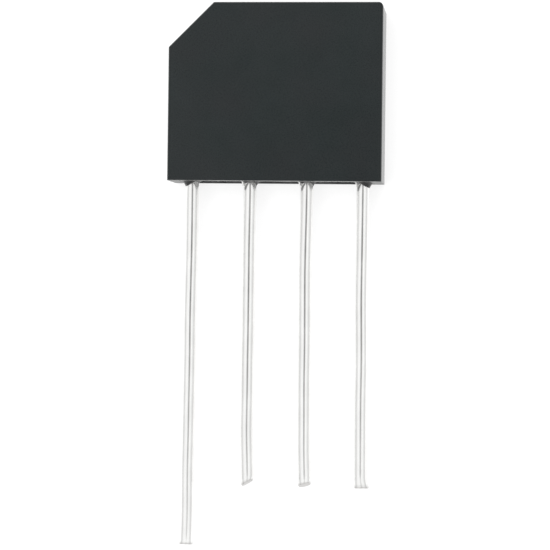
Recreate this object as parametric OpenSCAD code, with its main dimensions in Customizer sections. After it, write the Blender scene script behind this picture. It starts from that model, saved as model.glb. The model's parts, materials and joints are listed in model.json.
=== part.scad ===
// In-line bridge rectifier: a potted plastic case with four tinned wire leads.
// The part lies on its back face. Its leads run along -Y, and its closed end faces +Y.
// All sizes are in millimetres.

/* [Case] */
// Length of the case, from its open rim to its closed end
case_l = 15.8; // [14.6:0.1:18]
// Thickness of the case, from its back face to its front face
case_t = 6.0; // [5.4:0.1:7.5]
// Leg of the 45 degree corner cut that marks the positive lead
corner_cut = 4.0; // [2:0.1:5]
// Thickness of the side walls
side_wall = 0.95; // [0.7:0.05:1.1]
// Thickness of the front and back walls
face_wall = 0.9; // [0.6:0.05:1.1]
// Thickness of the closed end
end_wall = 1.2; // [0.8:0.1:1.6]
// Radius of the long edges round the front and back faces
edge_r = 0.4; // [0.1:0.05:0.6]
// Radius of the outline's corners at the closed end
corner_r = 0.5; // [0.1:0.05:0.8]
// Radius of the cavity's edges and corners
cavity_r = 0.35; // [0.1:0.05:0.5]

/* [Epoxy] */
// Depth of the epoxy's surface below the rim
fill_recess = 0.12; // [0.04:0.02:0.5]
// Height to which the epoxy climbs each lead
meniscus_h = 0.42; // [0.2:0.02:0.6]
// Reach of the climbing epoxy round each lead
meniscus_reach = 0.42; // [0.2:0.02:0.6]
// Radius of the climbing epoxy's hollow curve
meniscus_curve = 0.6; // [0.45:0.05:1.5]

/* [Leads] */
// Diameter of the lead wire
lead_d = 1.2; // [0.9:0.05:1.35]
// Distance from one lead to the next
lead_pitch = 5.08; // [4.6:0.02:6]
// Gap between each outer lead and the side wall beside it
lead_gap = 0.33; // [0.25:0.01:0.8]
// Length of the alternating and negative leads, from the rim to the tip
lead_l = 27.2; // [10:0.2:32]
// Length of the positive lead, from the rim to the tip
plus_lead_l = 32.5; // [12:0.5:40]
// Width of each of the two bevels that the cutter leaves on a tip
tip_bevel = 0.1; // [0.05:0.05:0.45]

/* [Anchors] */
// Length of the pinched anchor, just inside the epoxy, that holds each lead in place
anchor_l = 1.0; // [0.7:0.1:1.6]
// Thickness of the wire where it is pinched
anchor_t = 0.8; // [0.75:0.05:0.95]

/* [Flattened ends] */
// Thickness of the flattened ends that the diodes are soldered to
strip_t = 0.5; // [0.4:0.05:0.55]
// Length over which the round wire turns into the flat end
flare_l = 0.8; // [0.5:0.1:1.2]
// Flat length left beyond each chip's edge
strip_margin = 0.35; // [0.2:0.05:0.6]
// Radius of the flat ends' corners
strip_corner_r = 0.4; // [0.1:0.05:0.6]
// Radius of the bend in the positive and negative leads, at the wire's centre
bend_r = 1.3; // [1:0.1:1.6]

/* [Diodes] */
// Distance from the rim to the diodes on the negative lead
row_1 = 5.4; // [5:0.1:6.2]
// Distance from there to the diodes on the positive lead
row_gap = 5.2; // [4.6:0.1:5.6]
// Width of each square silicon chip
chip_w = 2.1; // [1.6:0.1:2.3]
// Thickness of a chip's base, on its cathode side
chip_base_t = 0.2; // [0.15:0.01:0.3]
// Thickness of the raised mesa on a chip's anode side
mesa_t = 0.08; // [0.04:0.01:0.12]
// Width of the etched moat round the mesa
moat_w = 0.2; // [0.1:0.02:0.3]
// Thickness of each solder joint
solder_t = 0.06; // [0.04:0.01:0.1]
// Width of bare metal round each solder joint
solder_inset = 0.1; // [0.05:0.05:0.2]

/* [Hidden] */
$fn = 96;
DIODES = [1, 2, 3, 4];

// A cut starts and a joined piece overlaps by this much
over = 1;

// The case is as wide as the row of leads needs
case_w = 3 * lead_pitch + lead_d + 2 * (lead_gap + side_wall);

rim_y = -case_l / 2;
end_y = case_l / 2;
fill_y = rim_y + fill_recess;
lead_z = case_t / 2;

plus_x = -1.5 * lead_pitch;
ac_x = [-lead_pitch / 2, lead_pitch / 2];
minus_x = 1.5 * lead_pitch;

// A flattened wire keeps its cross-section, so the thinner it is pressed the wider it gets
wire_area = PI * lead_d * lead_d / 4;
strip_w = wire_area / strip_t;
anchor_w = wire_area / anchor_t;

minus_row_y = rim_y + row_1;
plus_row_y = minus_row_y + row_gap;
stack_t = chip_base_t + mesa_t + 2 * solder_t;
mesa_w = chip_w - 2 * moat_w;
strip_end = chip_w / 2 + strip_margin;

// The mould core follows the outer shape, one wall inside it
cavity_cut = corner_cut - end_wall - side_wall * (1 - sqrt(2));

// Each diode's place, and whether its cathode faces the back: the two on the positive
// lead pass current into it, and the two on the negative lead pass current out of it
diode_place = [
    [ac_x[0], plus_row_y, true],
    [ac_x[1], plus_row_y, true],
    [ac_x[0], minus_row_y, false],
    [ac_x[1], minus_row_y, false]
];

function unit(v) = v / norm(v);

// What a rounding of radius r takes off corner p, between its neighbours a and b
module corner_waste(p, a, b, r) {
    to_a = unit(a - p);
    to_b = unit(b - p);
    inward = unit(to_a + to_b);
    half_angle = acos(to_a * to_b) / 2;
    centre = p + inward * r / sin(half_angle);
    reach = r / tan(half_angle);
    difference() {
        polygon([p - inward * r, p + to_a * reach, centre, p + to_b * reach]);
        translate(centre) circle(r);
    }
}

// A convex polygon with its own radius at each corner, 0 for a sharp one
module rounded_polygon(points, radii) {
    n = len(points);
    difference() {
        polygon(points);
        for (i = [0 : n - 1]) {
            if (radii[i] > 0) {
                corner_waste(points[i], points[(i + n - 1) % n], points[(i + 1) % n], radii[i]);
            }
        }
    }
}

// A wide slab below the plane y = 0, whose two long edges on that plane are rounded
module edge_slab(z_low, z_high, r) {
    far = case_w + case_l;
    section = [[-far, z_low], [0, z_low], [0, z_high], [-far, z_high]];
    rotate([90, 0, 90])
        linear_extrude(2 * far, center = true)
            rounded_polygon(section, [0, r, r, 0]);
}

// The case's form: square at the open end, one corner cut at the closed end,
// and rounded along every edge of both faces
module case_form(half_w, y_low, y_high, z_low, z_high, cut, edge, corner) {
    outline = [
        [-half_w, y_low],
        [half_w, y_low],
        [half_w, y_high],
        [cut - half_w, y_high],
        [-half_w, y_high - cut]
    ];
    intersection() {
        translate([0, 0, z_low])
            linear_extrude(z_high - z_low)
                rounded_polygon(outline, [0, 0, corner, corner, corner]);
        translate([0, y_high, 0]) edge_slab(z_low, z_high, edge);
        translate([half_w, 0, 0]) rotate([0, 0, -90]) edge_slab(z_low, z_high, edge);
        translate([-half_w, 0, 0]) rotate([0, 0, 90]) edge_slab(z_low, z_high, edge);
        translate([cut / 2 - half_w, y_high - cut / 2, 0])
            rotate([0, 0, 45])
                edge_slab(z_low, z_high, edge);
    }
}

// The space inside the case, from y_low inwards
module cavity(y_low) {
    case_form(
        case_w / 2 - side_wall, y_low, end_y - end_wall,
        face_wall, case_t - face_wall, cavity_cut, cavity_r, cavity_r
    );
}

module case() {
    color("#323637")
        difference() {
            case_form(case_w / 2, rim_y, end_y, 0, case_t, corner_cut, edge_r, corner_r);
            cavity(rim_y - over);
        }
}

// The straight run of a lead, from its cut tip up to the origin. It stands out of the case
// by length, and the rim is at a distance of depth from the origin. The wire is pinched
// where it enters the epoxy
module lead_stem(length, depth) {
    tip_y = -depth - length;
    flat = lead_d / 2 - tip_bevel;
    wide = flat + lead_d;
    anchor_y = fill_recess - depth;
    difference() {
        intersection() {
            rotate([90, 0, 0]) cylinder(d = lead_d, h = -tip_y);
            translate([0, tip_y, -lead_d])
                linear_extrude(2 * lead_d)
                    polygon([
                        [-flat, 0], [flat, 0],
                        [wide, lead_d], [wide, over - tip_y],
                        [-wide, over - tip_y], [-wide, lead_d]
                    ]);
        }
        for (side = [-1, 1]) {
            translate([0, anchor_y + anchor_l / 2, side * (anchor_t + lead_d) / 2])
                cube([2 * lead_d, anchor_l, lead_d], center = true);
        }
    }
    translate([-anchor_w / 2, anchor_y, -anchor_t / 2])
        cube([anchor_w, anchor_l, anchor_t]);
}

// The flattened end of a wire that arrives along +Y at the origin. It is pressed to one
// side of the wire, so that a diode fits between a strip on the front side (side = 1)
// and one on the back side (side = -1)
module flat_end(length, side) {
    near = stack_t / 2;
    half = lead_d / 2;
    outline = [
        [-half, 0], [half, 0],
        [strip_w / 2, flare_l], [strip_w / 2, length],
        [-strip_w / 2, length], [-strip_w / 2, flare_l]
    ];
    radii = [0, 0, 0, strip_corner_r, strip_corner_r, 0];
    mirror([0, 0, (1 - side) / 2]) {
        translate([0, 0, near])
            linear_extrude(strip_t)
                rounded_polygon(outline, radii);
        intersection() {
            rotate([-90, 0, 0]) cylinder(d = lead_d, h = flare_l);
            rotate([90, 0, 90])
                linear_extrude(2 * lead_d, center = true)
                    polygon([[0, -lead_d], [0, lead_d], [flare_l, lead_d], [flare_l, near]]);
        }
    }
}

// A quarter bend of the lead wire about the origin, from +X round to +Y
module quarter_bend() {
    rotate_extrude(angle = 90)
        translate([bend_r, 0])
            circle(d = lead_d);
}

// A lead that stands in the positive lead's place and bends over at the row of diodes at
// row_y, to pass behind both alternating leads
module bent_lead(length, row_y) {
    bend_x = plus_x + bend_r;
    bend_y = row_y - bend_r;
    translate([bend_x, bend_y, lead_z]) {
        translate([-bend_r, 0, 0]) lead_stem(length, bend_y - rim_y);
        rotate([0, 0, 90]) quarter_bend();
        translate([0, bend_r, 0])
            rotate([0, 0, -90])
                flat_end(ac_x[1] + strip_end - bend_x, -1);
    }
}

// The positive lead reaches the upper row
module plus_lead() {
    color("#d4d6d5") bent_lead(plus_lead_l, plus_row_y);
}

// The negative lead reaches the lower row, from the other side
module minus_lead() {
    color("#d4d6d5") mirror([1, 0, 0]) bent_lead(lead_l, minus_row_y);
}

// Each alternating lead runs straight up in front of both rows
module ac_lead(x) {
    flat_y = minus_row_y - strip_end - flare_l;
    color("#d4d6d5")
        translate([x, flat_y, lead_z]) {
            lead_stem(lead_l, flat_y - rim_y);
            flat_end(flare_l + row_gap + 2 * strip_end, 1);
        }
}

// Places a part of diode i, drawn with its cathode side down on the plane z = 0
module at_diode(i) {
    place = diode_place[i - 1];
    translate([place[0], place[1], lead_z])
        rotate([place[2] ? 0 : 180, 0, 0])
            translate([0, 0, -stack_t / 2])
                children();
}

// A square silicon chip: a full-width base, and the mesa inside its etched moat
module diode_chip(i) {
    color("#454b55")
        at_diode(i)
            translate([0, 0, solder_t]) {
                translate([-chip_w / 2, -chip_w / 2, 0])
                    cube([chip_w, chip_w, chip_base_t]);
                translate([-mesa_w / 2, -mesa_w / 2, chip_base_t - mesa_t])
                    cube([mesa_w, mesa_w, 2 * mesa_t]);
            }
}

// The solder under a chip's base
module cathode_solder(i) {
    color("#a3a7a9")
        at_diode(i)
            cylinder(d = chip_w - 2 * solder_inset, h = solder_t);
}

// The solder on a chip's mesa
module anode_solder(i) {
    color("#a3a7a9")
        at_diode(i)
            translate([0, 0, stack_t - solder_t])
                cylinder(d = mesa_w - 2 * solder_inset, h = solder_t);
}

// The ring of epoxy that climbs a lead. Its hollow curve runs from the wire's surface at
// meniscus_h to the epoxy's surface at meniscus_reach, and on into both
module meniscus(x) {
    foot = [lead_d / 2 + meniscus_reach, 0];
    top = [lead_d / 2, meniscus_h];
    half_chord = norm(top - foot) / 2;
    outward = unit([meniscus_h, meniscus_reach]);
    centre = (foot + top) / 2 + outward * sqrt(pow(meniscus_curve, 2) - pow(half_chord, 2));
    inner = lead_d / 4;
    translate([x, fill_y, lead_z])
        rotate([90, 0, 0])
            rotate_extrude()
                difference() {
                    translate([inner, -over / 2])
                        square([centre[0] - inner, centre[1] + over / 2]);
                    translate(centre) circle(meniscus_curve);
                }
}

// Everything that the epoxy surrounds
module inner_parts() {
    plus_lead();
    minus_lead();
    for (x = ac_x) ac_lead(x);
    for (i = DIODES) {
        diode_chip(i);
        cathode_solder(i);
        anode_solder(i);
    }
}

// The epoxy fills the case up to just below its rim, and climbs the leads
module epoxy_fill() {
    color("#202224")
        difference() {
            union() {
                cavity(fill_y);
                intersection() {
                    cavity(fill_y - meniscus_h - over);
                    for (x = [plus_x, ac_x[0], ac_x[1], minus_x]) meniscus(x);
                }
            }
            inner_parts();
        }
}

case();
epoxy_fill();
plus_lead();
ac_lead(ac_x[0]);  // ac_lead_1
ac_lead(ac_x[1]);  // ac_lead_2
minus_lead();
for (i = DIODES) {
    diode_chip(i);
    cathode_solder(i);
    anode_solder(i);
}
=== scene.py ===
"""The looks of an in-line bridge rectifier, built on the frame of its solid model.

Every length is in metres. The part lies on its back face: its leads run along -Y, the
closed end of its case faces +Y, and its front face looks up along +Z.
"""

import json
import logging
import math
from dataclasses import dataclass, field, fields
from enum import Enum
from typing import Iterable, Sequence

import bmesh
import bpy
from mathutils import Euler, Matrix, Vector, noise


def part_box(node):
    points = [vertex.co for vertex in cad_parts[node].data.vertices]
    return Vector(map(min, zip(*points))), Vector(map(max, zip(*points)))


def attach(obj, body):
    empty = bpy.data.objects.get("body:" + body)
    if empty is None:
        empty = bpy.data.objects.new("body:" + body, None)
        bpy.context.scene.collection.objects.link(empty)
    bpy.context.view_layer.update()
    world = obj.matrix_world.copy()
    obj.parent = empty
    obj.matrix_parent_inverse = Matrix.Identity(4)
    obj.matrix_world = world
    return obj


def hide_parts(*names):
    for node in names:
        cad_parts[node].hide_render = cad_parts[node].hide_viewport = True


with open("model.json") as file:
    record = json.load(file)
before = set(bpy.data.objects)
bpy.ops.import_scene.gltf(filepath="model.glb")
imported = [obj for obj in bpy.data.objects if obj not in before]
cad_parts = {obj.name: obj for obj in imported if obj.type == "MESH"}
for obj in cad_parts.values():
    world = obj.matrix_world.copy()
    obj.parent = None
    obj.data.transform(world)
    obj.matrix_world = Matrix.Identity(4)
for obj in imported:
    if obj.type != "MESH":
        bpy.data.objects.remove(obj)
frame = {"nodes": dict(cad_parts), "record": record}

log = logging.getLogger("rectifier")

MM = 0.001
BODY = "root"

# Most of a noise pattern lies between these two values
NOISE_LOW = 0.3
NOISE_HIGH = 0.7

# Corners closer than the first are one corner, and faces thinner than the second are none
MERGE_GAP = 1e-7
SLIVER = 1e-8


class Slot(Enum):
    """The finishes that the record names."""

    CASE = "case_plastic"
    EPOXY = "epoxy"
    WIRE = "tinned_wire"
    SILICON = "silicon"
    SOLDER = "solder"


class NodeBench:
    """Lays nodes in a tree and joins them."""

    def __init__(self, tree: bpy.types.NodeTree) -> None:
        """Takes the tree that the nodes go into."""
        self.tree = tree

    def add(self, kind: str, **settings: object) -> bpy.types.Node:
        """Adds a node.

        Args:
            kind: the node's type name.
            settings: values for the node's own properties.

        Returns:
            The new node.
        """
        node = self.tree.nodes.new(kind)
        for name, value in settings.items():
            setattr(node, name, value)
        return node

    def feed(self, node: bpy.types.Node, socket: str | int, value: object) -> None:
        """Feeds an input of a node.

        Args:
            node: the node that has the input.
            socket: the input's name or number.
            value: another node's output, or a plain value.
        """
        if isinstance(value, bpy.types.NodeSocket):
            self.tree.links.new(value, node.inputs[socket])
        else:
            node.inputs[socket].default_value = value

    def math(self, operation: str, first: object, second: object = 0.0) -> bpy.types.NodeSocket:
        """Does a sum on one or two numbers.

        Args:
            operation: the sum's name, such as MULTIPLY.
            first: an output or a number.
            second: an output or a number.

        Returns:
            The result's output.
        """
        node = self.add("ShaderNodeMath", operation=operation)
        self.feed(node, 0, first)
        self.feed(node, 1, second)
        return node.outputs[0]

    def vector(self, operation: str, first: object, second: object = (0, 0, 0)) -> bpy.types.NodeSocket:
        """Does a sum on one or two vectors.

        Args:
            operation: the sum's name, such as ADD.
            first: an output or a vector.
            second: an output or a vector.

        Returns:
            The resulting vector's output.
        """
        node = self.add("ShaderNodeVectorMath", operation=operation)
        self.feed(node, 0, first)
        self.feed(node, 1, second)
        return node.outputs["Vector"]

    def fit(self, value: bpy.types.NodeSocket, low: float, high: float) -> bpy.types.NodeSocket:
        """Stretches the middle of a noise pattern to a range.

        Args:
            value: the pattern's output.
            low: the result where the pattern is low.
            high: the result where the pattern is high.

        Returns:
            The stretched value's output.
        """
        node = self.add("ShaderNodeMapRange")
        self.feed(node, "Value", value)
        self.feed(node, "From Min", NOISE_LOW)
        self.feed(node, "From Max", NOISE_HIGH)
        self.feed(node, "To Min", low)
        self.feed(node, "To Max", high)
        return node.outputs["Result"]


class Paint(NodeBench):
    """A material whose pattern reads object coordinates."""

    def __init__(self, name: str) -> None:
        """Starts a material with a Principled shader.

        Args:
            name: the material's name.
        """
        self.material = bpy.data.materials.new(name)
        self.material.use_nodes = True
        super().__init__(self.material.node_tree)
        self.shader = self.tree.nodes["Principled BSDF"]
        self.place = self.add("ShaderNodeTexCoord").outputs["Object"]

    def grain(
        self, size: float, detail: float = 2.0, stretch: Sequence[float] = (1, 1, 1)
    ) -> bpy.types.NodeSocket:
        """Makes a noise pattern.

        Args:
            size: the distance from one grain to the next.
            detail: how many finer patterns lie on it.
            stretch: how much longer the grains are along each axis.

        Returns:
            The pattern's output, mostly from NOISE_LOW to NOISE_HIGH.
        """
        mapping = self.add("ShaderNodeMapping")
        self.feed(mapping, "Vector", self.place)
        self.feed(mapping, "Scale", [1 / s for s in stretch])
        pattern = self.add("ShaderNodeTexNoise")
        self.feed(pattern, "Vector", mapping.outputs["Vector"])
        self.feed(pattern, "Scale", 1 / size)
        self.feed(pattern, "Detail", detail)
        return pattern.outputs[0]

    def tones(
        self, value: bpy.types.NodeSocket, low: Sequence[float], high: Sequence[float]
    ) -> bpy.types.NodeSocket:
        """Goes from one colour to another with a pattern.

        Args:
            value: the pattern's output.
            low: the colour where the pattern is low.
            high: the colour where the pattern is high.

        Returns:
            The colour's output.
        """
        ramp = self.add("ShaderNodeValToRGB")
        first, last = ramp.color_ramp.elements
        first.position, first.color = NOISE_LOW, (*low, 1)
        last.position, last.color = NOISE_HIGH, (*high, 1)
        self.feed(ramp, "Fac", value)
        return ramp.outputs["Color"]

    def mix(
        self, share: bpy.types.NodeSocket, first: bpy.types.NodeSocket, second: Sequence[float]
    ) -> bpy.types.NodeSocket:
        """Mixes a plain colour into another output's colour.

        Args:
            share: the output with the plain colour's share.
            first: the output with the colour to start from.
            second: the plain colour.

        Returns:
            The mixed colour's output.
        """
        node = self.add("ShaderNodeMix", data_type="RGBA")
        self.feed(node, "Factor", share)
        self.feed(node, 6, first)
        self.feed(node, 7, (*second, 1))
        return node.outputs[2]

    def relief(self, layers: Iterable[tuple[bpy.types.NodeSocket, float]]) -> None:
        """Gives the surface its relief.

        Args:
            layers: pairs of a pattern's output and the height it stands for.
        """
        normal = None
        for height, depth in layers:
            bump = self.add("ShaderNodeBump")
            self.feed(bump, "Height", height)
            self.feed(bump, "Distance", depth)
            self.feed(bump, "Strength", 1.0)
            if normal is not None:
                self.feed(bump, "Normal", normal)
            normal = bump.outputs["Normal"]
        if normal is not None:
            self.feed(self.shader, "Normal", normal)


@dataclass(frozen=True)
class MouldedPlastic:
    """Moulded black plastic, spark-eroded but smoother at its two ends, with faint flow clouds.

    Attributes:
        dark: its darkest tone.
        light: its lightest tone.
        warm: the tone of its warmer places.
        warmth: the most of that tone that shows.
        grain_share: how much of the tone follows the grain, and not the clouds.
        grain_size: the distance from one grain to the next.
        cloud_size: the distance from one flow cloud to the next.
        tint_size: the distance from one warm place to the next.
        grain_depth: the height of the grain.
        roughness: the least and the most roughness.
        end_polish: the share of the roughness that the two ends have.
        end_turn: how far a face looks towards an end where that starts and where it is whole.
        specular: the strength of the gloss.
    """

    dark: tuple[float, float, float] = (0.0083, 0.0123, 0.0125)
    light: tuple[float, float, float] = (0.0118, 0.0163, 0.0168)
    warm: tuple[float, float, float] = (0.0122, 0.0128, 0.0138)
    warmth: float = 0.45
    grain_share: float = 0.35
    grain_size: float = 0.07 * MM
    cloud_size: float = 2.4 * MM
    tint_size: float = 4.5 * MM
    grain_depth: float = 0.002 * MM
    roughness: tuple[float, float] = (0.24, 0.34)
    end_polish: float = 0.65
    end_turn: tuple[float, float] = (0.8, 0.97)
    specular: float = 0.24

    def _satin(self, paint: Paint) -> bpy.types.NodeSocket:
        """Tells the satin faces from the two ends, which slid along the mould.

        Args:
            paint: the material to work in.

        Returns:
            An output that is 1 on the faces and rounded edges, and less at the two ends.
        """
        facing = paint.add("ShaderNodeSeparateXYZ")
        paint.feed(facing, 0, paint.add("ShaderNodeNewGeometry").outputs["True Normal"])
        ramp = paint.add("ShaderNodeMapRange", interpolation_type="SMOOTHSTEP")
        paint.feed(ramp, "Value", paint.math("ABSOLUTE", facing.outputs["X"]))
        paint.feed(ramp, "From Min", self.end_turn[0])
        paint.feed(ramp, "From Max", self.end_turn[1])
        paint.feed(ramp, "To Min", 1.0)
        paint.feed(ramp, "To Max", self.end_polish)
        return ramp.outputs["Result"]

    def material(self) -> bpy.types.Material:
        """Makes the material.

        Returns:
            The new material.
        """
        paint = Paint("moulded_plastic")
        grain = paint.grain(self.grain_size, detail=3)
        cloud = paint.grain(self.cloud_size, detail=4)
        fine = paint.math("MULTIPLY", grain, self.grain_share)
        broad = paint.math("MULTIPLY", cloud, 1 - self.grain_share)
        cool = paint.tones(paint.math("ADD", fine, broad), self.dark, self.light)
        warmth = paint.fit(paint.grain(self.tint_size, detail=1), 0.0, self.warmth)
        paint.feed(paint.shader, "Base Color", paint.mix(warmth, cool, self.warm))
        rough = paint.math("MULTIPLY", paint.fit(grain, *self.roughness), self._satin(paint))
        paint.feed(paint.shader, "Roughness", rough)
        paint.feed(paint.shader, "Specular IOR Level", self.specular)
        paint.relief([(grain, self.grain_depth)])
        return paint.material


@dataclass(frozen=True)
class PottingEpoxy:
    """Glossy black potting epoxy, a little uneven where it set."""

    dark: tuple[float, float, float] = (0.013, 0.0145, 0.015)
    light: tuple[float, float, float] = (0.021, 0.022, 0.022)
    cloud_size: float = 0.8 * MM
    swell_size: float = 1.7 * MM
    swell_depth: float = 0.02 * MM
    roughness: tuple[float, float] = (0.10, 0.2)

    def material(self) -> bpy.types.Material:
        """Makes the material.

        Returns:
            The new material.
        """
        paint = Paint("potting_epoxy")
        cloud = paint.grain(self.cloud_size, detail=3)
        swell = paint.grain(self.swell_size, detail=1)
        paint.feed(paint.shader, "Base Color", paint.tones(cloud, self.dark, self.light))
        paint.feed(paint.shader, "Roughness", paint.fit(cloud, *self.roughness))
        paint.relief([(swell, self.swell_depth)])
        return paint.material


@dataclass(frozen=True)
class TinnedWire:
    """Bright tinned copper wire, with faint lines from the drawing die.

    Attributes:
        dark: the tin's darkest tone.
        light: its lightest tone.
        cut: the tone of a cut end.
        line_size: the distance from one line to the next.
        line_length: how much longer than that a line is.
        line_depth: the depth of the lines.
        cloud_size: the distance from one wave in the tin to the next.
        cloud_length: how much longer than that a wave is.
        cloud_depth: the height of the waves.
        roughness: the least and the most roughness.
        cut_roughness: how much rougher a cut end is.
    """

    dark: tuple[float, float, float] = (0.86, 0.86, 0.85)
    light: tuple[float, float, float] = (0.94, 0.94, 0.93)
    cut: tuple[float, float, float] = (0.58, 0.57, 0.56)
    line_size: float = 0.05 * MM
    line_length: float = 60.0
    line_depth: float = 0.0012 * MM
    cloud_size: float = 0.9 * MM
    cloud_length: float = 2.5
    cloud_depth: float = 0.0048 * MM
    roughness: tuple[float, float] = (0.12, 0.20)
    cut_roughness: float = 0.2

    def material(self) -> bpy.types.Material:
        """Makes the material.

        Returns:
            The new material.
        """
        paint = Paint("tinned_wire")
        lines = paint.grain(self.line_size, detail=2, stretch=(1, self.line_length, 1))
        cloud = paint.grain(self.cloud_size, detail=4, stretch=(1, self.cloud_length, 1))
        tin = paint.tones(cloud, self.dark, self.light)
        cut = paint.add("ShaderNodeAttribute", attribute_name="cut").outputs["Fac"]
        paint.feed(paint.shader, "Base Color", paint.mix(cut, tin, self.cut))
        paint.feed(paint.shader, "Metallic", 1.0)
        rougher = paint.math("MULTIPLY", cut, self.cut_roughness)
        rough = paint.math("ADD", paint.fit(cloud, *self.roughness), rougher)
        paint.feed(paint.shader, "Roughness", rough)
        paint.relief([(lines, self.line_depth), (cloud, self.cloud_depth)])
        return paint.material


@dataclass(frozen=True)
class PolishedSilicon:
    """Dark polished silicon."""

    dark: tuple[float, float, float] = (0.16, 0.18, 0.21)
    light: tuple[float, float, float] = (0.22, 0.24, 0.27)
    cloud_size: float = 0.3 * MM
    roughness: tuple[float, float] = (0.12, 0.2)

    def material(self) -> bpy.types.Material:
        """Makes the material.

        Returns:
            The new material.
        """
        paint = Paint("polished_silicon")
        cloud = paint.grain(self.cloud_size)
        paint.feed(paint.shader, "Base Color", paint.tones(cloud, self.dark, self.light))
        paint.feed(paint.shader, "Metallic", 1.0)
        paint.feed(paint.shader, "Roughness", paint.fit(cloud, *self.roughness))
        return paint.material


@dataclass(frozen=True)
class SatinSolder:
    """Satin grey solder with a slightly frosted skin."""

    dark: tuple[float, float, float] = (0.46, 0.46, 0.47)
    light: tuple[float, float, float] = (0.6, 0.6, 0.61)
    frost_size: float = 0.12 * MM
    frost_depth: float = 0.004 * MM
    roughness: tuple[float, float] = (0.3, 0.45)

    def material(self) -> bpy.types.Material:
        """Makes the material.

        Returns:
            The new material.
        """
        paint = Paint("satin_solder")
        frost = paint.grain(self.frost_size, detail=3)
        paint.feed(paint.shader, "Base Color", paint.tones(frost, self.dark, self.light))
        paint.feed(paint.shader, "Metallic", 1.0)
        paint.feed(paint.shader, "Roughness", paint.fit(frost, *self.roughness))
        paint.relief([(frost, self.frost_depth)])
        return paint.material


@dataclass
class Finishes:
    """One material for each of the record's slots."""

    by_slot: dict[Slot, bpy.types.Material] = field(
        default_factory=lambda: {
            Slot.CASE: MouldedPlastic().material(),
            Slot.EPOXY: PottingEpoxy().material(),
            Slot.WIRE: TinnedWire().material(),
            Slot.SILICON: PolishedSilicon().material(),
            Slot.SOLDER: SatinSolder().material(),
        }
    )

    def dress(self, piece: bpy.types.Object, slot: Slot) -> bpy.types.Object:
        """Puts a slot's material on all of a piece.

        Args:
            piece: the piece to dress.
            slot: the finish it gets.

        Returns:
            The same piece.
        """
        piece.data.materials.clear()
        piece.data.materials.append(self.by_slot[slot])
        return piece


def settle(piece: bpy.types.Object, slot: Slot, *nodes: str) -> bpy.types.Object:
    """Fixes a finished piece to the part, in the place of its solids.

    Args:
        piece: the finished piece.
        slot: the record's slot that names its finish; not used.
        nodes: the solids that it stands for.

    Returns:
        The same piece.
    """
    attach(piece, BODY)
    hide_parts(*nodes)
    log.info("%s: %d faces, for %s", piece.name, len(piece.data.polygons), ", ".join(nodes))
    return piece


def new_piece(name: str, mesh: bpy.types.Mesh) -> bpy.types.Object:
    """Puts a mesh into the scene as an object at the origin.

    Args:
        name: the object's name.
        mesh: its mesh.

    Returns:
        The new object.
    """
    piece = bpy.data.objects.new(name, mesh)
    bpy.context.scene.collection.objects.link(piece)
    return piece


def close_up(mesh: bpy.types.Mesh, crease_deg: float) -> None:
    """Merges a mesh's doubles, turns its faces outwards and smooths all but its creases.

    Args:
        mesh: the mesh to finish.
        crease_deg: the least angle that stays a sharp edge.
    """
    work = bmesh.new()
    work.from_mesh(mesh)
    bmesh.ops.remove_doubles(work, verts=work.verts, dist=MERGE_GAP)
    bmesh.ops.dissolve_degenerate(work, edges=work.edges, dist=SLIVER)
    bmesh.ops.recalc_face_normals(work, faces=work.faces)
    for face in work.faces:
        face.smooth = True
    for edge in work.edges:
        edge.smooth = len(edge.link_faces) == 2 and edge.calc_face_angle(0) < math.radians(crease_deg)
    work.to_mesh(mesh)
    work.free()


@dataclass
class Case:
    """The moulded case: a flat cup with one corner cut, open where the leads leave."""

    node: str = "case"
    crease_deg: float = 28.0

    def build(self) -> bpy.types.Object:
        """Makes the case from its solid, with smooth rounded edges.

        Returns:
            The finished piece.
        """
        mesh = frame["nodes"][self.node].data.copy()
        mesh.name = "case_shell"
        close_up(mesh, self.crease_deg)
        return new_piece("case_shell", mesh)

    def dress(self, piece: bpy.types.Object, finishes: Finishes) -> None:
        """Gives the case its plastic and fixes it to the part."""
        finishes.dress(piece, Slot.CASE)
        settle(piece, Slot.CASE, self.node)


@dataclass
class Pin:
    """Where a lead leaves the case, as the record's mount has it."""

    x: float
    rim_y: float
    z: float
    radius: float
    length: float

    @classmethod
    def named(cls, name: str) -> "Pin":
        """Reads a pin from the record.

        Args:
            name: the mount's name.

        Returns:
            The pin's place and size.
        """
        mount = next(m for m in frame["record"]["mounts"] if m["name"] == name)
        x, y, z = mount["pos_m"]
        return cls(x, y, z, mount["dims"]["r_mm"] * MM, mount["dims"]["length_mm"] * MM)


@dataclass
class Station:
    """One place on a lead's centre line, and the wire's section there.

    Attributes:
        at: the place.
        half_width: half of the section's width.
        half_height: half of its height.
        lift: how far the section stands above the line.
        shift: how far it stands aside from the line.
        round: 1 for a round section, and less for a squarer one.
        nip: the most that the half width may be.
        slant: how far the section's right edge lies behind its centre.
        rake: how far its front edge lies behind its centre.
        free: the share of the free length that lies between here and the rim.
        loose: 1 where the lead stands free, and 0 where the epoxy holds it.
        cut: 1 on the bare metal of the cut end, and 0 on the tin.
    """

    at: Vector
    half_width: float
    half_height: float
    lift: float = 0.0
    shift: float = 0.0
    round: float = 1.0
    nip: float = 1.0
    slant: float = 0.0
    rake: float = 0.0
    free: float = 0.0
    loose: float = 0.0
    cut: float = 0.0


@dataclass(frozen=True)
class Stance:
    """How a handled lead strays sideways from its true line.

    Attributes:
        seed: the number that gives the lead its own waves.
        aside: how far it stands aside where it leaves the epoxy.
        lean: how far its tip leans aside.
        bow: the size of its waves.
    """

    seed: int
    aside: float = 0.0
    lean: float = 0.0
    bow: float = 0.08 * MM


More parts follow.
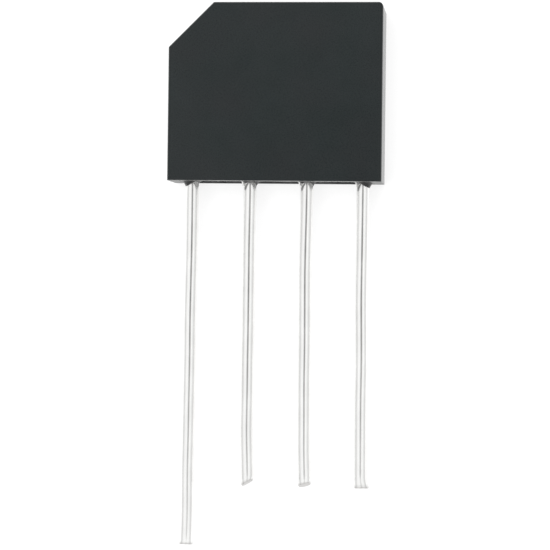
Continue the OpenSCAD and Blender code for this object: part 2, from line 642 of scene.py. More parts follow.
@dataclass(frozen=True)
class CutShape:
    """What side cutters did to the end of a wire.

    Attributes:
        spread: how much wider the end is on each side.
        skew: how far the end is pushed aside.
        slant: how far its right edge lies behind its centre.
        rake: how far its front edge lies behind its centre.
        squeeze: how much thinner the end is above and below.
        length: how far from the end the wire is round again.
    """

    spread: float = 0.0
    skew: float = 0.0
    slant: float = 0.0
    rake: float = 0.04 * MM
    squeeze: float = 0.02 * MM
    length: float = 0.6 * MM


class Cut(Enum):
    """The ways in which the wires' ends were left."""

    SQUARE = CutShape(spread=0.04 * MM, skew=-0.03 * MM, length=0.5 * MM)
    SLANTED = CutShape(spread=-0.08 * MM, slant=0.30 * MM, rake=0.13 * MM)
    LIPPED = CutShape(spread=-0.02 * MM, slant=0.13 * MM, rake=0.18 * MM)
    SPREAD = CutShape(spread=0.09 * MM, skew=0.10 * MM, squeeze=0.05 * MM, length=1.0 * MM)


class SweptWire:
    """A Geometry Nodes tree that draws a wire of changing section along a line of stations."""

    NUMBERS = tuple(f.name for f in fields(Station) if f.name != "at")
    CREASE_DEG = 33

    # How far apart two leads lie in the noise, how many waves a lead has, and how they grow
    SEED_STEP = 7.31
    WAVES = 2.6
    WAVE_GROWTH = 4.0

    # How late a lead leans, where it stops fading back to its line, and what is left there
    LEAN_POWER = 1.6
    ASIDE_FADES_BY = 0.34
    ASIDE_LEFT = 0.5

    def __init__(self, material: bpy.types.Material) -> None:
        """Builds the tree.

        Args:
            material: the finish of the wire.
        """
        self.tree = bpy.data.node_groups.new("swept_wire", "GeometryNodeTree")
        self.bench = NodeBench(self.tree)
        face = self.tree.interface
        face.new_socket("Stations", in_out="INPUT", socket_type="NodeSocketGeometry")
        self.inputs = {
            name: face.new_socket(name, in_out="INPUT", socket_type=kind).identifier
            for name, kind in (
                ("Facets", "NodeSocketInt"),
                ("Aside", "NodeSocketFloat"),
                ("Lean", "NodeSocketFloat"),
                ("Bow", "NodeSocketFloat"),
                ("Seed", "NodeSocketInt"),
            )
        }
        face.new_socket("Wire", in_out="OUTPUT", socket_type="NodeSocketGeometry")
        self._lay(material)

    def _number(self, name: str) -> bpy.types.NodeSocket:
        """Reads one of the stations' numbers.

        Args:
            name: the number's name.

        Returns:
            The number's output.
        """
        node = self.bench.add("GeometryNodeInputNamedAttribute", data_type="FLOAT")
        self.bench.feed(node, "Name", name)
        return node.outputs["Attribute"]

    def _wander(self, source: bpy.types.Node) -> bpy.types.NodeSocket:
        """Works out how far a handled lead stands off its true line, from the case outwards.

        Args:
            source: the tree's input node.

        Returns:
            The output with the sideways offset.
        """
        bench = self.bench
        free = self._number("free")
        seed = bench.math("MULTIPLY", source.outputs["Seed"], self.SEED_STEP)
        wave = bench.add("ShaderNodeTexNoise", noise_dimensions="1D")
        bench.feed(wave, "W", bench.math("ADD", bench.math("MULTIPLY", free, self.WAVES), seed))
        bench.feed(wave, "Scale", 1.0)
        bench.feed(wave, "Detail", 1.0)
        sway = bench.math("MULTIPLY", bench.math("SUBTRACT", wave.outputs[0], 0.5), source.outputs["Bow"])
        sway = bench.math("MULTIPLY", sway, bench.math("MULTIPLY", free, self.WAVE_GROWTH))
        lean = bench.math("MULTIPLY", bench.math("POWER", free, self.LEAN_POWER), source.outputs["Lean"])
        fade = bench.add("ShaderNodeMapRange", interpolation_type="SMOOTHSTEP")
        bench.feed(fade, "Value", free)
        bench.feed(fade, "From Max", self.ASIDE_FADES_BY)
        bench.feed(fade, "To Min", 1.0)
        bench.feed(fade, "To Max", self.ASIDE_LEFT)
        aside = bench.math("MULTIPLY", fade.outputs["Result"], source.outputs["Aside"])
        aside = bench.math("MULTIPLY", aside, self._number("loose"))
        offset = bench.add("ShaderNodeCombineXYZ")
        bench.feed(offset, "X", bench.math("ADD", bench.math("ADD", lean, sway), aside))
        return offset.outputs[0]

    def _squared(self, part: bpy.types.NodeSocket) -> bpy.types.NodeSocket:
        """Pushes a round section's coordinate outwards, towards a square one.

        Args:
            part: the coordinate, from -1 to 1.

        Returns:
            The output with the new coordinate.
        """
        bench = self.bench
        size = bench.math("POWER", bench.math("ABSOLUTE", part), self._number("round"))
        return bench.math("MULTIPLY", size, bench.math("SIGN", part))

    def _lay(self, material: bpy.types.Material) -> None:
        """Lays the tree's nodes.

        Args:
            material: the finish of the wire.
        """
        bench = self.bench
        source = bench.add("NodeGroupInput")
        line = bench.add("GeometryNodeMeshToCurve")
        bench.feed(line, 0, source.outputs["Stations"])
        placed = bench.add("GeometryNodeSetPosition")
        bench.feed(placed, "Geometry", line.outputs[0])
        bench.feed(placed, "Offset", self._wander(source))
        upright = bench.add("GeometryNodeSetCurveNormal", mode="Z_UP")
        bench.feed(upright, 0, placed.outputs[0])
        centre = bench.add("GeometryNodeCaptureAttribute", domain="POINT")
        centre.capture_items.new("VECTOR", "centre")
        bench.feed(centre, "Geometry", upright.outputs[0])
        bench.feed(centre, 1, bench.add("GeometryNodeInputPosition").outputs[0])
        ring = bench.add("GeometryNodeCurvePrimitiveCircle", mode="RADIUS")
        bench.feed(ring, "Resolution", source.outputs["Facets"])
        bench.feed(ring, "Radius", 1.0)
        skin = bench.add("GeometryNodeCurveToMesh")
        bench.feed(skin, "Curve", centre.outputs["Geometry"])
        bench.feed(skin, "Profile Curve", ring.outputs[0])
        bench.feed(skin, "Fill Caps", True)
        shaped = bench.add("GeometryNodeSetPosition")
        bench.feed(shaped, "Geometry", skin.outputs[0])
        bench.feed(shaped, "Position", self._section(centre.outputs[1]))
        whole = bench.add("GeometryNodeRealizeInstances")
        bench.feed(whole, 0, shaped.outputs[0])
        dressed = bench.add("GeometryNodeSetMaterial")
        bench.feed(dressed, "Geometry", whole.outputs[0])
        bench.feed(dressed, "Material", material)
        bench.feed(bench.add("NodeGroupOutput"), 0, dressed.outputs[0])

    def _section(self, centre: bpy.types.NodeSocket) -> bpy.types.NodeSocket:
        """Brings a ring of radius 1 to the station's own section.

        Args:
            centre: the captured centre of each ring.

        Returns:
            The output with each point's place.
        """
        bench = self.bench
        here = bench.add("GeometryNodeInputPosition").outputs[0]
        arm = bench.add("ShaderNodeSeparateXYZ")
        bench.feed(arm, 0, bench.vector("SUBTRACT", here, centre))
        flat = bench.add("ShaderNodeCombineXYZ")
        bench.feed(flat, "X", arm.outputs["X"])
        bench.feed(flat, "Y", arm.outputs["Y"])
        length = bench.add("ShaderNodeVectorMath", operation="LENGTH")
        bench.feed(length, 0, flat.outputs[0])
        across = length.outputs["Value"]
        wide = bench.math("MULTIPLY", self._squared(across), self._number("half_width"))
        wide = bench.math("MINIMUM", wide, self._number("nip"))
        sideways = bench.add("ShaderNodeVectorMath", operation="SCALE")
        bench.feed(sideways, 0, bench.vector("NORMALIZE", flat.outputs[0]))
        bench.feed(sideways, "Scale", wide)
        high = bench.math("MULTIPLY", self._squared(arm.outputs["Z"]), self._number("half_height"))
        upward = bench.add("ShaderNodeCombineXYZ")
        bench.feed(upward, "Z", bench.math("ADD", high, self._number("lift")))
        spread = bench.vector("ADD", sideways.outputs["Vector"], upward.outputs[0])
        slant = bench.math("MULTIPLY", arm.outputs["X"], self._number("slant"))
        rake = bench.math("MULTIPLY", arm.outputs["Z"], self._number("rake"))
        back = bench.add("ShaderNodeCombineXYZ")
        bench.feed(back, "X", self._number("shift"))
        bench.feed(back, "Y", bench.math("ADD", slant, rake))
        return bench.vector("ADD", centre, bench.vector("ADD", spread, back.outputs[0]))

    def draw(
        self, name: str, stations: Sequence[Station], facets: int, stance: Stance
    ) -> bpy.types.Object:
        """Draws one wire and bakes it to a plain mesh.

        Args:
            name: the piece's name.
            stations: the wire's centre line and sections, in order.
            facets: how many sides the wire has.
            stance: how the wire strays from its true line.

        Returns:
            The finished piece.
        """
        chain = bpy.data.meshes.new(name + "_line")
        edges = [(i, i + 1) for i in range(len(stations) - 1)]
        chain.from_pydata([s.at for s in stations], edges, [])
        for number in self.NUMBERS:
            values = [getattr(s, number) for s in stations]
            chain.attributes.new(number, "FLOAT", "POINT").data.foreach_set("value", values)
        carrier = new_piece(name + "_line", chain)
        modifier = carrier.modifiers.new("swept_wire", "NODES")
        modifier.node_group = self.tree
        modifier[self.inputs["Facets"]] = facets
        modifier[self.inputs["Aside"]] = stance.aside
        modifier[self.inputs["Lean"]] = stance.lean
        modifier[self.inputs["Bow"]] = stance.bow
        modifier[self.inputs["Seed"]] = stance.seed
        bpy.context.view_layer.update()
        depsgraph = bpy.context.evaluated_depsgraph_get()
        mesh = bpy.data.meshes.new_from_object(carrier.evaluated_get(depsgraph))
        carrier.modifiers.remove(modifier)
        bpy.data.objects.remove(carrier)
        mesh.name = name
        close_up(mesh, self.CREASE_DEG)
        return new_piece(name, mesh)


@dataclass
class Lead:
    """One lead: tinned wire outside, a pinched anchor and a flattened end inside.

    Attributes:
        name: the piece's name.
        node: its solid.
        mount: the record's pin where it leaves the case.
        stance: how it strays from its true line.
        cut: how its end was cut.
        bends: whether it turns through 90 degrees inside the case.
        fill_recess: how far the epoxy's level lies below the rim.
        bevel: the width of the bevel on its end.
        anchor_length: the length of the pinched anchor.
        anchor_height: the anchor's thickness.
        strip_height: the thickness of the flattened end.
        stack_height: the thickness of a diode with its two solder joints.
        strip_length: the length of a straight lead's flattened end, with its flare.
        strip_corner: the radius of the flattened end's corners.
        flare: the length over which the round wire turns flat.
        bend_radius: the radius of the bend.
        squareness: how square the pressed sections are, 1 for round ones.
        slant_fade: how many times its own reach a slanted cut takes to fade.
        bare_bevels: how many bevels of bare metal show at the end.
        facets: how many sides the wire has.
        flare_rings: how many rings the flare has.
        corner_rings: how many rings round off the flattened end.
        bend_rings: how many rings the bend has.
        ring_gap: the distance from one ring to the next on a straight run.
        step: the length over which one section turns into another at once.
    """

    # Where the rings of the cut end lie, in bevels and then in lengths of the cut
    BEVEL_STEPS = (0.0, 0.5, 1.0, 1.6)
    CUT_STEPS = (0.4, 0.6, 0.8, 1.0)

    name: str
    node: str
    mount: str
    stance: Stance
    cut: Cut
    bends: bool = False
    fill_recess: float = 0.12 * MM
    bevel: float = 0.1 * MM
    anchor_length: float = 1.0 * MM
    anchor_height: float = 0.8 * MM
    strip_height: float = 0.5 * MM
    stack_height: float = 0.4 * MM
    strip_length: float = 8.8 * MM
    strip_corner: float = 0.4 * MM
    flare: float = 0.8 * MM
    bend_radius: float = 1.3 * MM
    squareness: float = 0.2
    slant_fade: float = 2.2
    bare_bevels: float = 2.5
    facets: int = 56
    flare_rings: int = 6
    corner_rings: int = 6
    bend_rings: int = 16
    ring_gap: float = 0.45 * MM
    step: float = 0.004 * MM

    def __post_init__(self) -> None:
        """Works out the sections of the pinched and the flattened wire."""
        self.pin = Pin.named(self.mount)
        area = math.pi * self.pin.radius**2
        self.anchor_half = area / self.anchor_height / 2
        self.strip_half = area / self.strip_height / 2
        self.low, self.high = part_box(self.node)
        self.tip_y = self.pin.rim_y - self.pin.length
        self.fill_y = self.pin.rim_y + self.fill_recess

    def _free(self, y: float) -> float:
        """Works out which part of the free length lies between the rim and a place."""
        return max(0.0, (self.pin.rim_y - y) / self.pin.length)

    def _round(self, y: float, loose: float) -> Station:
        """Makes a station where the wire is round.

        Args:
            y: the place along the lead.
            loose: 1 where the lead stands free, and 0 where the epoxy holds it.

        Returns:
            The station.
        """
        pin = self.pin
        at = Vector((pin.x, y, pin.z))
        return Station(at, pin.radius, pin.radius, free=self._free(y), loose=loose)

    def tip(self) -> list[Station]:
        """Lays the stations of the cut end, up to where the wire is round.

        Returns:
            The stations in order.
        """
        pin, shape = self.pin, self.cut.value
        reach = math.hypot(shape.slant, shape.rake)
        length = max(shape.length, self.slant_fade * reach)
        start = self.tip_y + reach + self.step
        rings = [self.bevel * t for t in self.BEVEL_STEPS]
        rings += [length * t for t in self.CUT_STEPS]
        stations = []
        for past in rings:
            left = 1 - past / length
            half = pin.radius + shape.spread * left**2
            at = Vector((pin.x, start + past, pin.z))
            stations.append(
                Station(
                    at,
                    half,
                    pin.radius - shape.squeeze * left,
                    shift=shape.skew * left**2,
                    nip=half - max(0.0, self.bevel - past),
                    slant=shape.slant * left,
                    rake=shape.rake * left,
                    free=self._free(at.y),
                    loose=1.0,
                    cut=max(0.0, 1 - past / (self.bare_bevels * self.bevel)),
                )
            )
        return stations

    def stem(self, end_y: float) -> list[Station]:
        """Lays the stations from the tip up to a place on the straight run.

        Args:
            end_y: where the straight run ends.

        Returns:
            The stations in order.
        """
        stations = self.tip()
        start = stations[-1].at.y
        count = round((self.fill_y - start) / self.ring_gap)
        for i in range(1, count + 1):
            stations.append(self._round(start + (self.fill_y - start) * i / count, 1.0))
        for y in (self.fill_y + self.step, self.fill_y + self.anchor_length):
            at = Vector((self.pin.x, y, self.pin.z))
            stations.append(Station(at, self.anchor_half, self.anchor_height / 2, round=self.squareness))
        y = self.fill_y + self.anchor_length + self.step
        count = max(1, round((end_y - y) / self.ring_gap))
        for i in range(count + 1):
            stations.append(self._round(y + (end_y - y) * i / count, 0.0))
        return stations

    def strip(self, start: Vector, along: Vector, length: float, side: int) -> list[Station]:
        """Lays the stations of the flattened end.

        Args:
            start: where the round wire ends.
            along: the direction that the strip runs in.
            length: the strip's length with its flare.
            side: 1 if it is pressed to the front side of the wire, -1 if to the back.

        Returns:
            The stations in order.
        """
        r = self.pin.radius
        lift = side * (self.stack_height + self.strip_height) / 2
        stations = []
        for i in range(1, self.flare_rings + 1):
            t = i / self.flare_rings
            stations.append(
                Station(
                    start + along * self.flare * t,
                    r + (self.strip_half - r) * t,
                    r + (self.strip_height / 2 - r) * t,
                    lift=lift * t,
                    round=1 - (1 - self.squareness) * t,
                )
            )
        flat = dict(half_height=self.strip_height / 2, lift=lift, round=self.squareness)
        for i in range(self.corner_rings + 1):
            turn = math.radians(90 * i / self.corner_rings)
            back = self.strip_corner * (1 - math.sin(turn))
            half = self.strip_half - self.strip_corner * (1 - math.cos(turn))
            stations.append(Station(start + along * (length - back), half, **flat))
        return stations

    def stations(self) -> list[Station]:
        """Lays all of the lead's stations, from the tip to the end inside the case.

        Returns:
            The stations in order.
        """
        pin = self.pin
        if not self.bends:
            start = Vector((pin.x, self.high.y - self.strip_length, pin.z))
            return self.stem(start.y) + self.strip(start, Vector((0, 1, 0)), self.strip_length, 1)
        inward = 1 if pin.x < 0 else -1
        row_y = self.high.y - self.strip_half
        end_x = self.high.x if inward > 0 else self.low.x
        hub = Vector((pin.x + inward * self.bend_radius, row_y - self.bend_radius, pin.z))
        stations = self.stem(hub.y)
        for i in range(1, self.bend_rings + 1):
            turn = math.radians(90 * i / self.bend_rings)
            arm = Vector((-inward * math.cos(turn), math.sin(turn), 0))
            stations.append(Station(hub + arm * self.bend_radius, pin.radius, pin.radius))
        along = Vector((inward, 0, 0))
        start = hub + Vector((0, self.bend_radius, 0))
        return stations + self.strip(start, along, abs(end_x - start.x), -1)

    def build(self, sweep: SweptWire) -> bpy.types.Object:
        """Draws the lead.

        Args:
            sweep: the tree that draws wires.

        Returns:
            The finished piece.
        """
        return sweep.draw(self.name, self.stations(), self.facets, self.stance)

    def dress(self, piece: bpy.types.Object) -> None:
        """Fixes the lead to the part, in the finish that its tree gave it."""
        settle(piece, Slot.WIRE, self.node)


@dataclass
class EpoxyFill:
    """The potting epoxy: its surface lies just below the rim and climbs wires and walls.

    Attributes:
        leads: the leads that it holds.
        node: its solid.
        climb: how high it climbs a lead.
        front_share: the share of that climb on the front of a lead.
        inner_share: the share of it on the inner side of an outer lead.
        reach: how far from a lead the climb starts.
        fall: how hollow the climb is, 1 for a straight one.
        wall_climb: how high it climbs the case's walls.
        wall_reach: how far from a wall that climb starts.
        web_climb: how much higher it climbs the outer side of an outer lead.
        bare_power: how quickly the climb gets lower towards a lead's front.
        bare_edge: how far round its outer side an outer lead's front is bare.
        uneven: how much the climb varies round a lead.
        uneven_turns: how often it varies round a lead.
        uneven_step: how much one lead's variation differs from the next one's.
        swell: how uneven the open surface is.
        swell_size: the distance from one swell to the next.
        swell_level: the level at which the swells' pattern is read.
        corner_radius: the radius of the cavity's corners.
        corner_cut: the leg of the cavity's cut corner.
        grid: the distance between two points of the surface.
        crease_deg: the least angle that stays a sharp edge.
    """

    leads: Sequence[Lead]
    node: str = "epoxy_fill"
    climb: float = 0.42 * MM
    front_share: float = 0.3
    inner_share: float = 0.5
    reach: float = 0.42 * MM
    fall: float = 2.2
    wall_climb: float = 0.085 * MM
    wall_reach: float = 0.16 * MM
    web_climb: float = 0.16 * MM
    bare_power: float = 0.7
    bare_edge: float = 0.4
    uneven: float = 0.12
    uneven_turns: float = 1.4
    uneven_step: float = 3.7
    swell: float = 0.015 * MM
    swell_size: float = 1.9 * MM
    swell_level: float = 0.3 * MM
    corner_radius: float = 0.35 * MM
    corner_cut: float = 3.19 * MM
    grid: float = 0.075 * MM
    crease_deg: float = 50.0

    def __post_init__(self) -> None:
        """Reads the fill's box and its level."""
        self.low, self.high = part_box(self.node)
        self.fill_y = self.leads[0].fill_y

    def collar(self, lead: Lead, x: float, z: float) -> float:
        """Works out how far the epoxy climbs a lead at a place beside it.

        Args:
            lead: the lead.
            x: the place along the row of leads.
            z: the place from the back of the case to its front.

        Returns:
            The height above the epoxy's level.
        """
        pin = lead.pin
        across, upward = x - pin.x - lead.stance.aside, z - pin.z
        near = max(0.0, 1 - max(math.hypot(across, upward) - pin.radius, 0.0) / self.reach)
        if near == 0:
            return 0.0
        way = Vector((across, upward)).normalized()
        outward = way.x * math.copysign(1, pin.x)
        bare = max(0.0, way.y) ** self.bare_power
        share = 1.0
        if lead.bends:
            bare *= min(1.0, max(0.0, self.bare_edge - outward))
            share = 1 - (1 - self.inner_share) * max(0.0, -outward)
        share *= 1 - (1 - self.front_share) * bare
        turns, step = self.uneven_turns, self.uneven_step * lead.stance.seed
        ragged = 1 + self.uneven * noise.noise(Vector((turns * way.x, turns * way.y, step)))
        height = self.climb * ragged * share * near**self.fall
        if lead.bends and outward > 0:
            height += self.web_climb * near * outward
        return height

    def rise(self, x: float, z: float) -> float:
        """Works out how far the epoxy stands above its level.

        Args:
            x: the place along the row of leads.
            z: the place from the back of the case to its front.

        Returns:
            The height, towards the tips of the leads.
        """
        to_side = min(x - self.low.x, self.high.x - x)
        to_face = min(z - self.low.z, self.high.z - z)
        height = self.wall_climb * math.exp(-max(0.0, min(to_side, to_face)) / self.wall_reach)
        height += self.swell * noise.noise(Vector((x, z, self.swell_level)) / self.swell_size)
        height += sum(self.collar(lead, x, z) for lead in self.leads)
        return height

    def build(self) -> bpy.types.Object:
        """Makes the epoxy as a closed block with a fine grid on its open side.

        Returns:
            The finished piece.
        """
        columns = round((self.high.x - self.low.x) / self.grid)
        rows = round((self.high.z - self.low.z) / self.grid)
        top, bottom = [], []
        for j in range(rows + 1):
            for i in range(columns + 1):
                x = self.low.x + (self.high.x - self.low.x) * i / columns
                z = self.low.z + (self.high.z - self.low.z) * j / rows
                x, z = self._inside(x, z)
                end_y = min(self.high.y, self.high.y - self.corner_cut + (x - self.low.x))
                top.append(Vector((x, self.fill_y - self.rise(x, z), z)))
                bottom.append(Vector((x, end_y, z)))
        width, count = columns + 1, len(top)
        faces = []
        for j in range(rows):
            for i in range(columns):
                a = j * width + i
                faces.append((a, a + 1, a + width + 1, a + width))
                faces.append(tuple(count + k for k in (a, a + width, a + width + 1, a + 1)))
        edge = list(range(width))
        edge += [j * width + columns for j in range(1, rows + 1)]
        edge += [rows * width + i for i in range(columns - 1, -1, -1)]
        edge += [j * width for j in range(rows - 1, 0, -1)]
        for a, b in zip(edge, edge[1:] + edge[:1]):
            faces.append((b, a, count + a, count + b))
        mesh = bpy.data.meshes.new("epoxy_surface")
        mesh.from_pydata(top + bottom, [], faces)
        close_up(mesh, self.crease_deg)
        return new_piece("epoxy_surface", mesh)

    def _inside(self, x: float, z: float) -> tuple[float, float]:
        """Draws a place in a corner back to the rounded outline of the cavity.

        Args:
            x: the place along the row of leads.
            z: the place from the back of the case to its front.

        Returns:
            The place, or the nearest one on the rounded corner.
        """
        r = self.corner_radius
        hub_x = min(max(x, self.low.x + r), self.high.x - r)
        hub_z = min(max(z, self.low.z + r), self.high.z - r)
        arm = Vector((x - hub_x, z - hub_z))
        if arm.length > r:
            arm *= r / arm.length
        return hub_x + arm.x, hub_z + arm.y

    def dress(self, piece: bpy.types.Object, finishes: Finishes) -> None:
        """Gives the epoxy its finish and fixes it to the part."""
        finishes.dress(piece, Slot.EPOXY)
        settle(piece, Slot.EPOXY, self.node)


@dataclass
class Diodes:
    """The four soldered diodes inside the epoxy, which keep their solids."""

    numbers: tuple[int, ...] = (1, 2, 3, 4)

    def dress(self, finishes: Finishes) -> None:
        """Gives each chip and each solder joint its finish.

        Args:
            finishes: the materials.
        """
        for number in self.numbers:
            for kind, slot in (
                ("diode_chip", Slot.SILICON),
                ("cathode_solder", Slot.SOLDER),
                ("anode_solder", Slot.SOLDER),
            ):
                node = f"{kind}_{number}"
                finishes.dress(frame["nodes"][node], slot)
                log.info("%s: its solid, in %s", node, slot.value)


@dataclass
class Studio:
    """The floor, the soft light, the dark flag round the lens, and the camera.

    Attributes:
        camera_at: where the camera stands.
        camera_turn_deg: how it is turned, about z, then y, then x.
        camera_near: the nearest that it sees.
        lens_mm: its lens.
        floor_half: half of the floor's side.
        floor_drop: how far below the part the floor lies, so that the two don't coincide.
        floor_tone: the tone by which the floor scatters light.
        floor_lift: the light that brings it to white.
        ambient: the strength of the surround's light.
        overhead: how bright its ceiling looks in reflections.
        horizon: how bright its sides look in reflections.
        horizon_band: the heights between which it goes from the one to the other.
        lamp_at: where the lamp hangs.
        lamp_size: its width.
        lamp_power: its power in watts.
        flag_radius: the flag's radius.
        flag_shift: how far the flag hangs towards the closed end of the case.
        flag_depth: how dense it is in its middle.
        flag_tone: its tone.
        flag_sides: how many sides its outline has.
    """

    camera_at: tuple[float, float, float] = (0.01940, -0.01746, 0.20205)
    camera_turn_deg: tuple[float, float, float] = (0.37, 5.58, 0.66)
    camera_near: float = 0.01
    lens_mm: float = 146.6
    floor_half: float = 0.6
    floor_drop: float = 0.02 * MM
    floor_tone: float = 0.26
    floor_lift: float = 0.79
    ambient: float = 0.62
    overhead: float = 1.05
    horizon: float = 0.78
    horizon_band: tuple[float, float] = (0.35, 0.75)
    lamp_at: tuple[float, float, float] = (-0.06, 0.05, 0.42)
    lamp_size: float = 0.34
    lamp_power: float = 1.6
    flag_radius: float = 0.075
    flag_shift: float = 0.006
    flag_depth: float = 1.0
    flag_tone: float = 0.01
    flag_sides: int = 64

    def build(self) -> None:
        """Makes everything round the part."""
        self._surround()
        self._lamp()
        self._floor()
        self._camera()
        self._flag()
        settings = bpy.context.scene.view_settings
        settings.view_transform = "Standard"
        log.info("studio: floor, surround, lamps, flag and camera")

    def _shows(self, bench: NodeBench) -> bpy.types.NodeSocket:
        """Tells rays that show the surround from those that only light the part.

        Args:
            bench: the tree to work in.

        Returns:
            An output that is 1 for camera, glossy and transmission rays, and 0 for others.
        """
        rays = bench.add("ShaderNodeLightPath")
        seen = bench.math("MAXIMUM", rays.outputs["Is Camera Ray"], rays.outputs["Is Glossy Ray"])
        return bench.math("MAXIMUM", seen, rays.outputs["Is Transmission Ray"])

    def _blank(self, name: str) -> tuple[bpy.types.Material, NodeBench]:
        """Starts a material with an empty tree.

        Args:
            name: the material's name.

        Returns:
            The material and the bench of its tree.
        """
        material = bpy.data.materials.new(name)
        material.use_nodes = True
        material.node_tree.nodes.clear()
        return material, NodeBench(material.node_tree)

    def _surround(self) -> None:
        """Makes a pale surround that lights the part at a plain level.

        Its sides look a little darker than its ceiling in reflections, and it is white to
        the camera.
        """
        world = bpy.data.worlds.new("surround")
        bpy.context.scene.world = world
        world.use_nodes = True
        bench = NodeBench(world.node_tree)
        world.node_tree.nodes.clear()
        height = bench.add("ShaderNodeSeparateXYZ")
        bench.feed(height, 0, bench.add("ShaderNodeTexCoord").outputs["Generated"])
        level = bench.add("ShaderNodeMapRange", interpolation_type="SMOOTHSTEP")
        bench.feed(level, "Value", height.outputs["Z"])
        bench.feed(level, "From Min", self.horizon_band[0])
        bench.feed(level, "From Max", self.horizon_band[1])
        bench.feed(level, "To Min", self.horizon)
        bench.feed(level, "To Max", self.overhead)
        rays = bench.add("ShaderNodeLightPath")
        shown = bench.math("MAXIMUM", level.outputs["Result"], rays.outputs["Is Camera Ray"])
        light = bench.add("ShaderNodeBackground")
        bench.feed(light, "Strength", self.ambient)
        white = bench.add("ShaderNodeBackground")
        bench.feed(white, "Strength", shown)
        mix = bench.add("ShaderNodeMixShader")
        bench.feed(mix, 0, self._shows(bench))
        bench.feed(mix, 1, light.outputs[0])
        bench.feed(mix, 2, white.outputs[0])
        for node in (light, white):
            bench.feed(node, "Color", (1, 1, 1, 1))
        bench.feed(bench.add("ShaderNodeOutputWorld"), 0, mix.outputs[0])

    def _lamp(self) -> None:
        """Hangs one large soft lamp above the part."""
        light = bpy.data.lights.new("softbox", "AREA")
        light.shape = "DISK"
        light.size = self.lamp_size
        light.energy = self.lamp_power
        lamp = bpy.data.objects.new("softbox", light)
        lamp.location = self.lamp_at
        lamp.rotation_euler = (-lamp.location).to_track_quat("-Z", "Y").to_euler()
        lamp.visible_glossy = False
        bpy.context.scene.collection.objects.link(lamp)

    def _floor(self) -> None:
        """Lays a white floor that keeps the part's shadow and doesn't hide the part from below."""
        half = self.floor_half
        edges = [(-half, -half), (half, -half), (half, half), (-half, half)]
        mesh = bpy.data.meshes.new("floor")
        mesh.from_pydata([(x, y, -self.floor_drop) for x, y in edges], [], [(0, 1, 2, 3)])
        floor = new_piece("floor", mesh)
        material, bench = self._blank("floor")
        tone = bench.add("ShaderNodeBsdfDiffuse")
        bench.feed(tone, "Color", (self.floor_tone,) * 3 + (1,))
        lift = bench.add("ShaderNodeEmission")
        bench.feed(lift, "Strength", bench.math("MULTIPLY", self._shows(bench), self.floor_lift))
        both = bench.add("ShaderNodeAddShader")
        bench.feed(both, 0, tone.outputs[0])
        bench.feed(both, 1, lift.outputs[0])
        camera_ray = bench.add("ShaderNodeLightPath").outputs["Is Camera Ray"]
        under = bench.add("ShaderNodeNewGeometry").outputs["Backfacing"]
        clear = bench.add("ShaderNodeMixShader")
        bench.feed(clear, 0, bench.math("MULTIPLY", camera_ray, under))
        bench.feed(clear, 1, both.outputs[0])
        bench.feed(clear, 2, bench.add("ShaderNodeBsdfTransparent").outputs[0])
        bench.feed(bench.add("ShaderNodeOutputMaterial"), 0, clear.outputs[0])
        mesh.materials.append(material)

    def _camera(self) -> None:
        """Sets the camera above the part, a little to its right."""
        data = bpy.data.cameras.new("camera")
        data.lens = self.lens_mm
        data.clip_start = self.camera_near
        camera = bpy.data.objects.new("camera", data)
        camera.location = self.camera_at
        camera.rotation_euler = Euler([math.radians(a) for a in self.camera_turn_deg], "ZYX")
        camera.rotation_mode = "ZYX"
        bpy.context.scene.collection.objects.link(camera)
        bpy.context.scene.camera = camera

    def _flag(self) -> None:
        """Hangs a dark disc round the lens, thinner towards its edge, that only reflections show."""
        work = bmesh.new()
        bmesh.ops.create_circle(
            work, cap_ends=True, cap_tris=True, segments=self.flag_sides, radius=self.flag_radius
        )
        mesh = bpy.data.meshes.new("lens_flag")
        work.to_mesh(mesh)
        work.free()
        shade = mesh.attributes.new("shade", "FLOAT", "POINT")
        shade.data.foreach_set("value", [1 - v.co.length / self.flag_radius for v in mesh.vertices])
        mesh.transform(Matrix.Translation((0, self.flag_shift, 0)) @ bpy.context.scene.camera.matrix_basis)
        flag = new_piece("lens_flag", mesh)
        material, bench = self._blank("lens_flag")
        thick = bench.add("ShaderNodeAttribute", attribute_name="shade")
        black = bench.add("ShaderNodeBsdfDiffuse")
        bench.feed(black, "Color", (self.flag_tone,) * 3 + (1,))
        mix = bench.add("ShaderNodeMixShader")
        bench.feed(mix, 0, bench.math("MULTIPLY", thick.outputs["Fac"], self.flag_depth))
        bench.feed(mix, 1, bench.add("ShaderNodeBsdfTransparent").outputs[0])
        bench.feed(mix, 2, black.outputs[0])
        bench.feed(bench.add("ShaderNodeOutputMaterial"), 0, mix.outputs[0])
        mesh.materials.append(material)
        flag.visible_camera = False
        flag.visible_diffuse = False
        flag.visible_shadow = False
        flag.visible_transmission = False


def leads() -> list[Lead]:
    """Lists the four leads, each with the stance and the cut end that handling gave it.

    Returns:
        The leads, from the positive one to the negative one.
    """
    return [
        Lead(
            "positive_wire",
            "plus_lead",
            "plus_pin",
            Stance(seed=1, aside=0.05 * MM, lean=-0.17 * MM, bow=0.10 * MM),
            Cut.SQUARE,
            bends=True,
        ),
        Lead(
            "alternating_wire_1",
            "ac_lead_1",
            "ac_pin_1",
            Stance(seed=2, aside=0.17 * MM, lean=0.11 * MM),
            Cut.SLANTED,
        ),
        Lead(
            "alternating_wire_2",
            "ac_lead_2",
            "ac_pin_2",
            Stance(seed=3, aside=0.17 * MM, lean=0.11 * MM),
            Cut.LIPPED,
        ),
        Lead(
            "negative_wire",
            "minus_lead",
            "minus_pin",
            Stance(seed=4, aside=0.10 * MM, lean=0.14 * MM),
            Cut.SPREAD,
            bends=True,
        ),
    ]


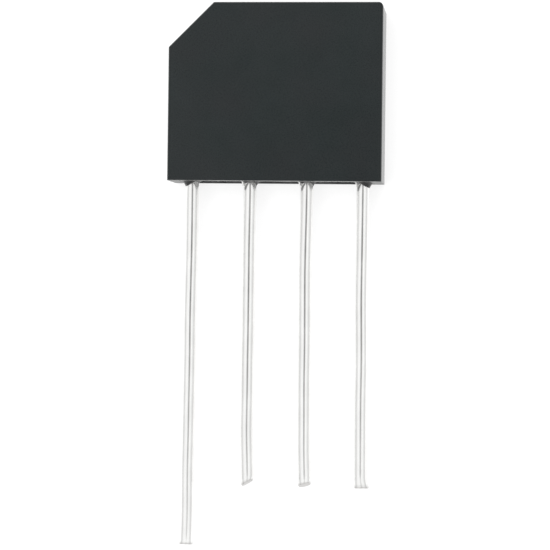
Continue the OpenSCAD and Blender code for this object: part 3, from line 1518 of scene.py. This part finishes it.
def main() -> None:
    """Builds and dresses the part and its studio, and reports each piece."""
    logging.basicConfig(level=logging.INFO, format="%(name)s: %(message)s")
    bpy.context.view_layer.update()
    finishes = Finishes()
    case = Case()
    case.dress(case.build(), finishes)
    wires = leads()
    epoxy = EpoxyFill(wires)
    epoxy.dress(epoxy.build(), finishes)
    sweep = SweptWire(finishes.by_slot[Slot.WIRE])
    for lead in wires:
        lead.dress(lead.build(sweep))
    Diodes().dress(finishes)
    Studio().build()


if __name__ == "__main__":
    main()
